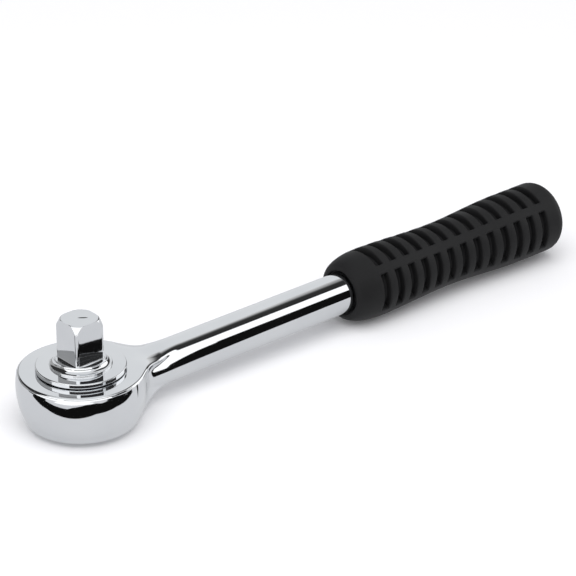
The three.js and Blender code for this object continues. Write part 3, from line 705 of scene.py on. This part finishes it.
def makeDial(form):
    skin = newSkin()
    count = form["notches"] * form["pointsPerNotch"]
    angles = np.linspace(0, math.tau, count, endpoint=False)
    pitch = math.tau / form["notches"]
    offset = ((angles / pitch + 0.5) % 1 - 0.5) * pitch * form["radius"]
    scoop = np.sqrt(np.maximum(form["notchRadius"] ** 2 - offset ** 2, 0))
    notched = form["radius"] - scoop
    plain = np.full(count, form["radius"])

    def dialRing(radii, z):
        return np.column_stack([radii * np.cos(angles), radii * np.sin(angles), np.full(count, z)])

    rings = stackRings(skin, [
        dialRing(notched - form["edge"], 0), dialRing(notched, form["edge"]),
        dialRing(notched, form["notchHeight"] - form["notchLip"]), dialRing(plain, form["notchHeight"]),
        dialRing(plain, form["thick"] - form["edge"]), dialRing(plain - form["edge"], form["thick"])])
    capRing(skin, rings[0], (0, 0, 0))
    capRing(skin, rings[-1], (0, 0, form["thick"]))
    blank = placeObject("dialBlank", skinMesh(skin, "dialBlank"))

    # Two half-moon finger pockets and the spindle's square socket are cut out of it
    reach = form["radius"] - form["rimWidth"]
    opening = math.asin(form["barWidth"] / 2 / reach)
    moonTurns = np.linspace(opening, math.pi - opening, form["pocketPoints"])
    moon = [(reach * math.cos(t), reach * math.sin(t)) for t in moonTurns]
    s = form["socketHalf"]
    over = form["overcut"]
    cutters = [
        makePrism("pocketCutter", moon, -over, form["pocketDepth"]),
        makePrism("pocketCutterFar", [(-x, -y) for x, y in moon], -over, form["pocketDepth"]),
        makePrism("socketCutter", [(s, s), (-s, s), (-s, -s), (s, -s)],
                  form["socketFloor"], form["thick"] + over),
    ]
    for cutter in cutters:
        cut = blank.modifiers.new(cutter.name, "BOOLEAN")
        cut.operation = "DIFFERENCE"
        cut.solver = "EXACT"
        cut.object = cutter
    soften = blank.modifiers.new("softEdges", "BEVEL")
    soften.width = form["softEdge"] * mm
    soften.segments = form["softSegments"]
    soften.limit_method = "ANGLE"
    soften.angle_limit = math.radians(form["softAngle"])
    view = bpy.context.evaluated_depsgraph_get()
    finished = bpy.data.meshes.new_from_object(blank.evaluated_get(view))
    for spare in [blank] + cutters:
        bpy.data.objects.remove(spare)
    finished.name = "thumbDial"
    turn = math.radians(form["turn"])
    for vertex in finished.vertices:
        x, y, z = vertex.co
        vertex.co = (x * math.cos(turn) - y * math.sin(turn), x * math.sin(turn) + y * math.cos(turn), z)
    return dressPiece(finished, "thumbDial", dialSteel, "reverser", ["reversing_dial"])


makeDial(dialForm)


# Slotted rubber grip
gripForm = {
    "mouth": 125.6, "length": 111.0, "level": 11.5,
    "lipRadius": 10.0, "noseLength": 14.0, "bellyRadius": 14.0,
    "waistAt": 51.4, "waistRadius": 12.85, "flareAt": 90.4, "flareRadius": 14.5, "endRound": 5.0,
    "recessDepth": 1.2, "recessRadius": 9.0, "recessRound": 0.3, "boreRadius": 8.35, "boreEnd": 100.7,
    "lipRound": 0.3, "lipOuterRound": 0.24, "hubRadius": 1.0,
    "slots": 13, "firstSlot": 12.6, "pitch": 7.16, "slotWidth": 3.4, "slotDepth": 2.9,
    "webWidth": 4.0, "lowerWebWidth": 7.8, "webFlat": 0.7,
    "noseRows": 22, "noseFrom": 0.03, "tailRows": 5, "endRows": 14, "slotColumns": 8, "hold": 0.1,
}

# Depth of a slot's side wall as a share, by distance past its edge in mm: rounded lip, steep wall, soft foot
slotWall = [(-0.62, 0), (-0.4, 0.012), (-0.22, 0.045), (-0.08, 0.12), (0.0, 0.24),
            (0.07, 0.75), (0.16, 0.93), (0.34, 0.985), (0.6, 1)]


def gripRadius(form, at):
    def ease(low, high, start, end):
        t = min(max((at - start) / (end - start), 0), 1)
        return low + (high - low) * (1 - math.cos(math.pi * t)) / 2

    if at < form["noseLength"]:
        t = 1 - at / form["noseLength"]
        return form["lipRadius"] + (form["bellyRadius"] - form["lipRadius"]) * math.sqrt(1 - t * t)
    if at < form["waistAt"]:
        return ease(form["bellyRadius"], form["waistRadius"], form["noseLength"], form["waistAt"])
    return ease(form["waistRadius"], form["flareRadius"], form["waistAt"], form["flareAt"])


def makeGrip(form):
    skin = newSkin()
    quarter = math.pi / 4
    half = form["slotColumns"]
    webs = [form["webWidth"] / 2] * 2 + [form["lowerWebWidth"] / 2] * 2

    # Columns run from the middle of one web to the next, close together at the slots' ends
    def halfSlot(web, radius):
        stops = [0, form["webFlat"] * web] + [web + past for past, _ in slotWall]
        near = [math.asin(stop / radius) for stop in stops]
        return near + list(np.linspace(near[-1], quarter, half + 1)[1:])

    def columnTurns(radius):
        turns = []
        for k in range(4):
            ahead = halfSlot(webs[(k + 1) % 4], radius)
            quadrant = halfSlot(webs[k], radius) + [2 * quarter - t for t in ahead[-2:0:-1]]
            turns += [quarter + 2 * quarter * k + t for t in quadrant]
        return np.array(turns)

    sideDepth = [0, 0] + [depth for _, depth in slotWall] + [1] * half
    columnDepth = np.array((sideDepth + sideDepth[-2:0:-1]) * 4)

    def gripRing(at, radius, depth=0.0):
        turns = columnTurns(max(radius, form["lipRadius"]))
        radii = radius - depth * columnDepth
        return np.column_stack([np.full(len(turns), form["mouth"] + at),
                                radii * np.cos(turns), form["level"] + radii * np.sin(turns)])

    edge = form["slotWidth"] / 2
    noseStart = form["noseLength"] * form["noseFrom"]
    noseEnd = form["firstSlot"] - edge + slotWall[0][0]
    mouthPath = roundedPath([
        (form["boreRadius"], form["boreEnd"], 0), (form["boreRadius"], form["recessDepth"], 0),
        (form["recessRadius"], form["recessDepth"], form["recessRound"]),
        (form["recessRadius"], 0, form["lipRound"]), (form["lipRadius"], 0, form["lipOuterRound"]),
        (gripRadius(form, noseStart), noseStart, 0)], steps=5, hold=0.05)
    rings = [gripRing(z, r) for r, z in mouthPath[:-1]]
    noseTurns = np.linspace(0, math.pi / 2, form["noseRows"] + 1)
    for at in form["noseLength"] * (1 - np.cos(noseTurns)):
        if noseStart < at < noseEnd - form["hold"]:
            rings.append(gripRing(at, gripRadius(form, at)))

    # Ribs and slots
    for slot in range(form["slots"]):
        middle = form["firstSlot"] + slot * form["pitch"]
        stops = [(middle - edge + past, depth) for past, depth in slotWall]
        stops += [(middle + edge - past, depth) for past, depth in slotWall[::-1]]
        stops.append((middle + form["pitch"] / 2, 0))
        for at, depth in stops:
            rings.append(gripRing(at, gripRadius(form, at), depth * form["slotDepth"]))

    # Rounded closed end
    lastAt = form["length"] - form["endRound"]
    for at in np.linspace(rings[-1][0][0] - form["mouth"], lastAt, form["tailRows"])[1:-1]:
        rings.append(gripRing(at, gripRadius(form, at)))
    shoulder = gripRadius(form, lastAt) - form["endRound"]
    for t in np.linspace(0, math.pi / 2, form["endRows"] + 1):
        at = lastAt + form["endRound"] * math.sin(t)
        rings.append(gripRing(at, shoulder + form["endRound"] * math.cos(t)))
    rings.append(gripRing(form["length"], shoulder - form["hold"]))
    rings.append(gripRing(form["length"], form["hubRadius"]))
    made = stackRings(skin, rings)
    capRing(skin, made[0], (form["mouth"] + form["boreEnd"], 0, form["level"]))
    capRing(skin, made[-1], (form["mouth"] + form["length"], 0, form["level"]))
    return makePiece(skin, "slottedGrip", gripRubber, "housing", ["grip_sleeve"])


makeGrip(gripForm)


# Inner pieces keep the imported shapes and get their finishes
innerFinishes = {
    groundSteel: ["pawl_left", "pawl_right", "pawl_pin_left", "pawl_pin_right",
                  "plunger_left", "plunger_right", "reversing_spindle", "thrust_washer"],
    springSteel: ["drive_detent_spring", "plunger_spring", "retaining_ring", "wave_washer"],
}
for finish, names in innerFinishes.items():
    for name in names:
        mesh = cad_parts[name].data
        mesh.materials.clear()
        mesh.materials.append(finish)
print("inner pieces dressed")


# Floor under the dial's edge and the belly of the grip, and the studio round it
stageForm = {
    "halfSide": 3.0, "lean": -0.0164, "touchAt": -13.2,
    "paint": (0.94, 0.94, 0.95), "lift": 0.05, "mirrored": (0.57, 0.58, 0.595), "mirroredShade": 0.35,
    "tent": (0.59, 0.59, 0.61), "mirroredTent": (0.82, 0.835, 0.85),
}

# Cards that only the polished metal sees. Strips stand near the tool as (x, y, low, high) in mm, arcs run
# round the drive axis as (start, end, low, high), and screens hang far out between a low and a high edge of
# (azimuth, elevation) in degrees. A fade is a list of (share of the way up, tone).
cardForm = {
    "tones": {
        "black": 0.006, "white": 1.35, "slate": 0.035, "grey": 0.42,
        "frameFade": [(0, 0.03), (0.45, 0.035), (0.6, 0.1), (0.78, 0.34), (1, 0.78)],
        "sideFade": [(0, 0.035), (0.62, 0.05), (0.78, 0.16), (0.9, 0.45), (1, 0.78)],
    },
    "strips": {
        "darkHeadStrip": ("black", [
            (-80, 60, 0.5, 19), (-58, 15, 3.8, 17), (-46, -5, 4.8, 12.6), (-34, -24, 1.6, 11),
            (-31.5, -28, 1, 12.3), (-23.5, -38, 0.7, 14), (-15.5, -47, 0.5, 13.2), (-9, -47, 1.8, 12.6),
            (8, -46.5, 4.5, 15.8), (24.5, -45.5, 4.3, 10.5), (41.5, -44.5, 5.2, 9.8)]),
        "whiteScreen": ("white", [
            (-98, 36, 0, 160), (-98, 0, 0, 160), (-82, -38, 0, 160), (-60, -76, 0, 160),
            (-30, -100, 0, 160), (0, -106, 0, 160), (17, -101, 0, 160)]),
        "darkShankStrip": ("black", [
            (39, -29, -1, 10), (48, -33, -1, 13), (70, -43, -1.4, 14), (94, -52.5, -1.8, 14),
            (149, -76, -2.7, 14.5), (400, -185, -6.8, 20)]),
        "whitePocketStrip": ("white", [
            (40, -27.5, 9.5, 30), (48.5, -31.5, 12, 32), (52, -33.3, 17.5, 34), (62, -37.5, 24, 38),
            (76, -43.5, 32, 42), (90, -48.5, 37, 46)]),
    },
    "arcRadius": 80, "arcPoints": 25,
    "arcs": [(-154, -77, 45, 60), (-70, -38, 45, 60), (-70, -46, 60, 76), (104, 121, 43, 53),
             (141, 197, 43, 53)],
    "middle": (60, 0, 12), "distance": 2600, "columns": 40, "rows": 14,
    "screens": {
        "darkScreen": ("black", [(-112, -3), (-80, -3), (-60, -3), (-50, -3), (-40, -3), (-30, -2)],
                       [(-112, 27), (-80, 26), (-60, 24.5), (-47, 24), (-42, 9), (-30, 0)]),
        "brightScreen": ("white", [(-62, 25.5), (-48, 24.5), (-44, 10), (-36, 4), (-26, -1), (-10, -3),
                                   (3, -3), (9, -1), (13, 8)],
                         [(-54, 42), (-46, 46), (-38, 48), (-30, 45.5), (-22, 42), (-10, 41), (3, 38),
                          (10, 31), (13.5, 24)]),
        "screenFrame": ("frameFade", [(-42, 50), (-34, 48), (-25, 43), (-13, 42), (-1, 41), (6, 38),
                                      (11, 33)],
                        [(-42, 70), (-34, 73), (-22, 74), (-7, 74), (-1, 67), (8, 60), (17, 54)]),
        "frameSide": ("sideFade", [(11, 33), (13, 28), (14.5, 20), (13.5, 9), (9, -1), (2, -12), (2, -20)],
                      [(17, 54), (29, 47), (32, 32), (36, 20), (40, 10), (43, 0), (44, -20)]),
        "greyScreen": ("grey", [(66, 10), (80, 11), (95, 12), (110, 6), (128, -4), (150, -6), (157, -6)],
                       [(66, 29), (95, 29), (128, 29), (157, 29)]),
        "leftScreen": ("slate", [(66, 29), (95, 29), (128, 29), (157, 29)],
                       [(66, 56), (95, 60), (128, 60), (157, 56)]),
    },
}

keyLamp = {"azimuth": 238, "elevation": 70, "distance": 1.8, "size": 2.0, "power": 25.0}


def cardLight():
    finish = bpy.data.materials.new("cardLight")
    nodes, links = emptyNodes(finish)
    output = nodes.new("ShaderNodeOutputMaterial")
    light = nodes.new("ShaderNodeEmission")
    tone = nodes.new("ShaderNodeAttribute")
    tone.attribute_name = "tone"
    links.new(tone.outputs["Fac"], light.inputs["Strength"])
    links.new(light.outputs["Emission"], output.inputs["Surface"])
    return finish


# The camera sees the white floor with its shadows, and the metal sees them fainter
def floorFinish(form):
    finish = bpy.data.materials.new("whiteFloor")
    nodes, links = emptyNodes(finish)
    output = nodes.new("ShaderNodeOutputMaterial")
    paint = nodes.new("ShaderNodeBsdfDiffuse")
    paint.inputs["Color"].default_value = (*form["paint"], 1)
    lift = nodes.new("ShaderNodeEmission")
    lift.inputs["Strength"].default_value = form["lift"]
    lit = nodes.new("ShaderNodeAddShader")
    mirrored = nodes.new("ShaderNodeEmission")
    mirrored.inputs["Color"].default_value = (*form["mirrored"], 1)
    faint = nodes.new("ShaderNodeMixShader")
    faint.inputs["Fac"].default_value = form["mirroredShade"]
    pick = nodes.new("ShaderNodeMixShader")
    path = nodes.new("ShaderNodeLightPath")
    links.new(paint.outputs["BSDF"], lit.inputs[0])
    links.new(lift.outputs["Emission"], lit.inputs[1])
    links.new(mirrored.outputs["Emission"], faint.inputs[1])
    links.new(lit.outputs["Shader"], faint.inputs[2])
    links.new(path.outputs["Is Glossy Ray"], pick.inputs["Fac"])
    links.new(lit.outputs["Shader"], pick.inputs[1])
    links.new(faint.outputs["Shader"], pick.inputs[2])
    links.new(pick.outputs["Shader"], output.inputs["Surface"])
    return finish


def addFloor(form):
    side = form["halfSide"] / mm
    corners = [(-side, -side), (side, -side), (side, side), (-side, side)]
    levels = [form["lean"] * (x - form["touchAt"]) for x, _ in corners]
    mesh = bpy.data.meshes.new("studioFloor")
    mesh.from_pydata([(x * mm, y * mm, z * mm) for (x, y), z in zip(corners, levels)], [], [(0, 1, 2, 3)])
    mesh.materials.append(floorFinish(form))
    floor = placeObject("studioFloor", mesh)


def addCard(name, rows, tones, finish):
    count = len(rows[0])
    points = [[c * mm for c in p] for row in rows for p in row]
    faces = [(r * count + i, r * count + i + 1, (r + 1) * count + i + 1, (r + 1) * count + i)
             for r in range(len(rows) - 1) for i in range(count - 1)]
    mesh = bpy.data.meshes.new(name)
    mesh.from_pydata(points, [], faces)
    shade = mesh.attributes.new("tone", "FLOAT", "POINT")
    shade.data.foreach_set("value", [tone for tone in tones for _ in range(count)])
    mesh.materials.append(finish)
    card = placeObject(name, mesh)
    card.visible_camera = False
    card.visible_diffuse = False
    card.visible_shadow = False


def arcStrip(form, start, end, low, high):
    radius = form["arcRadius"]
    turns = np.radians(np.linspace(start, end, form["arcPoints"]))
    return [(radius * math.cos(t), radius * math.sin(t), low, high) for t in turns]


def stripCard(name, strip, tone, finish):
    low = [(x, y, z) for x, y, z, _ in strip]
    high = [(x, y, z) for x, y, _, z in strip]
    addCard(name, [low, high], [tone, tone], finish)


def screenCard(name, form, low, high, fade, finish):
    def along(edge):
        steps = np.linspace(0, len(edge) - 1, form["columns"] + 1)
        return np.column_stack([np.interp(steps, range(len(edge)), [p[k] for p in edge]) for k in (0, 1)])

    start, end = along(low), along(high)
    shares = np.linspace(0, 1, form["rows"] + 1)
    rows = []
    for share in shares:
        turn, rise = np.radians(start + (end - start) * share).T
        ray = np.column_stack([np.cos(turn) * np.cos(rise), np.sin(turn) * np.cos(rise), np.sin(rise)])
        rows.append(np.array(form["middle"]) + ray * form["distance"])
    levels = np.interp(shares, [s for s, _ in fade], [t for _, t in fade])
    addCard(name, rows, levels, finish)


def addCards(form):
    finish = cardLight()
    tones = form["tones"]
    for name, (tone, strip) in form["strips"].items():
        stripCard(name, strip, tones[tone], finish)
    for number, arc in enumerate(form["arcs"]):
        stripCard("darkArc%d" % number, arcStrip(form, *arc), tones["slate"], finish)
    for name, (tone, low, high) in form["screens"].items():
        fade = tones[tone] if tone.endswith("Fade") else [(0, tones[tone]), (1, tones[tone])]
        screenCard(name, form, low, high, fade, finish)


def addLamp(form):
    data = bpy.data.lights.new("softKey", "AREA")
    data.size = form["size"]
    data.energy = form["power"]
    lamp = placeObject("softKey", data)
    turn, rise = math.radians(form["azimuth"]), math.radians(form["elevation"])
    ray = Vector((math.cos(turn) * math.cos(rise), math.sin(turn) * math.cos(rise), math.sin(rise)))
    lamp.location = ray * form["distance"]
    lamp.rotation_euler = (-ray).to_track_quat("-Z", "Y").to_euler()
    lamp.visible_glossy = False


def addWorld(form):
    world = bpy.data.worlds.new("studioWorld")
    scene.world = world
    nodes, links = emptyNodes(world)
    output = nodes.new("ShaderNodeOutputWorld")
    path = nodes.new("ShaderNodeLightPath")
    tent = nodes.new("ShaderNodeBackground")
    tent.inputs["Color"].default_value = (*form["tent"], 1)
    white = nodes.new("ShaderNodeBackground")
    white.inputs["Color"].default_value = (1, 1, 1, 1)
    mirrored = nodes.new("ShaderNodeBackground")
    mirrored.inputs["Color"].default_value = (*form["mirroredTent"], 1)
    seen = nodes.new("ShaderNodeMixShader")
    pick = nodes.new("ShaderNodeMixShader")
    links.new(path.outputs["Is Camera Ray"], seen.inputs["Fac"])
    links.new(tent.outputs["Background"], seen.inputs[1])
    links.new(white.outputs["Background"], seen.inputs[2])
    links.new(path.outputs["Is Glossy Ray"], pick.inputs["Fac"])
    links.new(seen.outputs["Shader"], pick.inputs[1])
    links.new(mirrored.outputs["Background"], pick.inputs[2])
    links.new(pick.outputs["Shader"], output.inputs["Surface"])


addFloor(stageForm)
addWorld(stageForm)
addCards(cardForm)
addLamp(keyLamp)
scene.view_settings.view_transform = "Standard"
print("studio ready")
